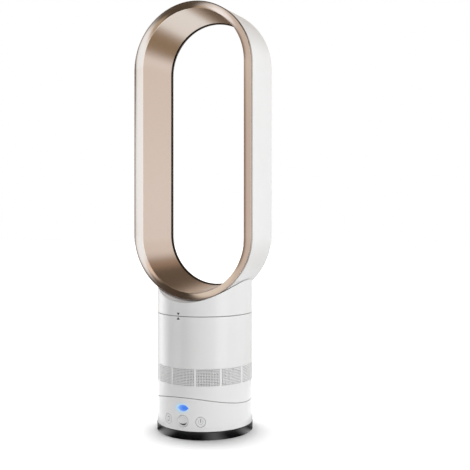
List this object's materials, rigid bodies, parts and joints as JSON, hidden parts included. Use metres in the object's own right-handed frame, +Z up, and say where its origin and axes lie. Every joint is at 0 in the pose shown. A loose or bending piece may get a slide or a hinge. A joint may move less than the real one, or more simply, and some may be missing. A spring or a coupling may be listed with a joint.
{
  "type": "bladeless tower fan",
  "caption": "Bladeless tower fan: oval air loop on a round body that turns on its foot, tilts on a curved saddle and draws air through a perforated band.",
  "frame": {"origin": "on the body axis, at the surface the fan stands on", "axes": "+Z up through the loop, -Y is the front that air blows from, +X to the right seen from behind"},
  "size_m": [0.195, 0.145, 0.64],
  "materials": {
    "foot_black": "gloss",
    "plate_steel": "satin",
    "machined_steel": "polished",
    "dark_screws": "satin",
    "black_rubber": "matte",
    "gear_plastic": "satin",
    "cage_plastic": "satin",
    "white_shell": "gloss",
    "white_grille": "gloss",
    "white_buttons": "gloss",
    "inner_plastic": "satin",
    "circuit_green": "satin",
    "component_black": "satin",
    "lamp_clear": "gloss",
    "lens_blue": "gloss",
    "motor_zinc": "satin",
    "grey_foam": "matte",
    "duct_grey": "satin",
    "bucket_grey": "satin",
    "copper_windings": "satin",
    "magnet_dark": "satin",
    "impeller_blue": "satin",
    "lock_grey": "satin",
    "liner_rose": "gloss",
    "rim_gold": "gloss",
    "edge_dark": "gloss",
    "lip_dark": "satin"
  },
  "bodies": {
    "foot": {"foot_ring": "foot_black", "base_plate": "plate_steel", "foot_pads": "black_rubber", "spindle": "machined_steel", "spindle_washer": "plate_steel", "spindle_screw": "dark_screws", "curved_rack": "gear_plastic", "turntable_race": "plate_steel", "ball_cage": "cage_plastic", "turntable_balls": "machined_steel", "foot_screws": "dark_screws"},
    "control_base": {"control_housing": "white_shell", "base_floor": "inner_plastic", "tilt_saddle": "inner_plastic", "control_board": "circuit_green", "tact_switches": "component_black", "speed_encoder": "component_black", "indicator_led": "lamp_clear", "indicator_lens": "lens_blue", "power_inlet": "component_black", "power_board": "circuit_green", "turning_motor": "motor_zinc", "base_screws": "dark_screws"},
    "pinion": {"pinion": "gear_plastic"},
    "swing_button": {"swing_button": "white_buttons"},
    "power_button": {"power_button": "white_buttons"},
    "speed_dial": {"speed_dial": "white_buttons"},
    "upper_body": {"body_collar": "white_shell", "tilt_shoe": "inner_plastic", "cable_grommet": "black_rubber", "intake_grille": "white_grille", "body_shell": "white_shell", "intake_foam": "grey_foam", "isolator_ring": "black_rubber", "impeller_housing": "duct_grey", "inlet_bellmouth": "duct_grey", "guide_vanes": "duct_grey", "motor_bucket_lower": "bucket_grey", "motor_bucket_upper": "bucket_grey", "motor_stator": "copper_windings", "motor_bearings": "machined_steel", "driver_board": "circuit_green", "lock_socket": "inner_plastic", "outlet_seal": "black_rubber"},
    "impeller": {"impeller": "impeller_blue", "motor_shaft": "machined_steel", "motor_rotor": "magnet_dark", "impeller_nut": "dark_screws"},
    "loop": {"neck": "white_shell", "lock_ring": "lock_grey", "loop_shell": "white_shell", "loop_liner": "liner_rose", "front_rim": "rim_gold", "edge_bead": "edge_dark", "slot_lip": "lip_dark", "slot_spacers": "lip_dark"}
  },
  "joints": [
    {"name": "swing", "type": "hinge", "parent": "foot", "child": "control_base", "pos_m": [0, 0, 0.0137], "axis": [0, 0, 1], "range_deg": [-45, 45]},
    {"name": "pinion_spin", "type": "hinge", "parent": "control_base", "child": "pinion", "pos_m": [0.04199, 0, 0.0065], "axis": [0, 0, 1], "range_deg": [-226, 226]},
    {"name": "tilt", "type": "hinge", "parent": "control_base", "child": "upper_body", "pos_m": [0, 0, 0.26046], "axis": [1, 0, 0], "range_deg": [-8, 8]},
    {"name": "swing_button_press", "type": "slide", "parent": "control_base", "child": "swing_button", "axis": [0.3665, 0.9304, 0], "range_m": [0, 0.0008], "stiffness_N_per_m": 1500},
    {"name": "power_button_press", "type": "slide", "parent": "control_base", "child": "power_button", "axis": [-0.3665, 0.9304, 0], "range_m": [0, 0.0008], "stiffness_N_per_m": 1500},
    {"name": "speed_dial_turn", "type": "hinge", "parent": "control_base", "child": "speed_dial", "pos_m": [0, -0.0668, 0.0265], "axis": [0, -1, 0], "range_deg": [-135, 135]},
    {"name": "impeller_spin", "type": "hinge", "parent": "upper_body", "child": "impeller", "pos_m": [0, 0, 0.141], "axis": [0, 0, 1], "continuous": true},
    {"name": "loop_twist", "type": "hinge", "parent": "upper_body", "child": "loop", "pos_m": [0, 0, 0.1706], "axis": [0, 0, 1], "range_deg": [0, 25]}
  ],
  "couplings": [
    {"joint": "pinion_spin", "follows": "swing", "ratio": 5}
  ]
}
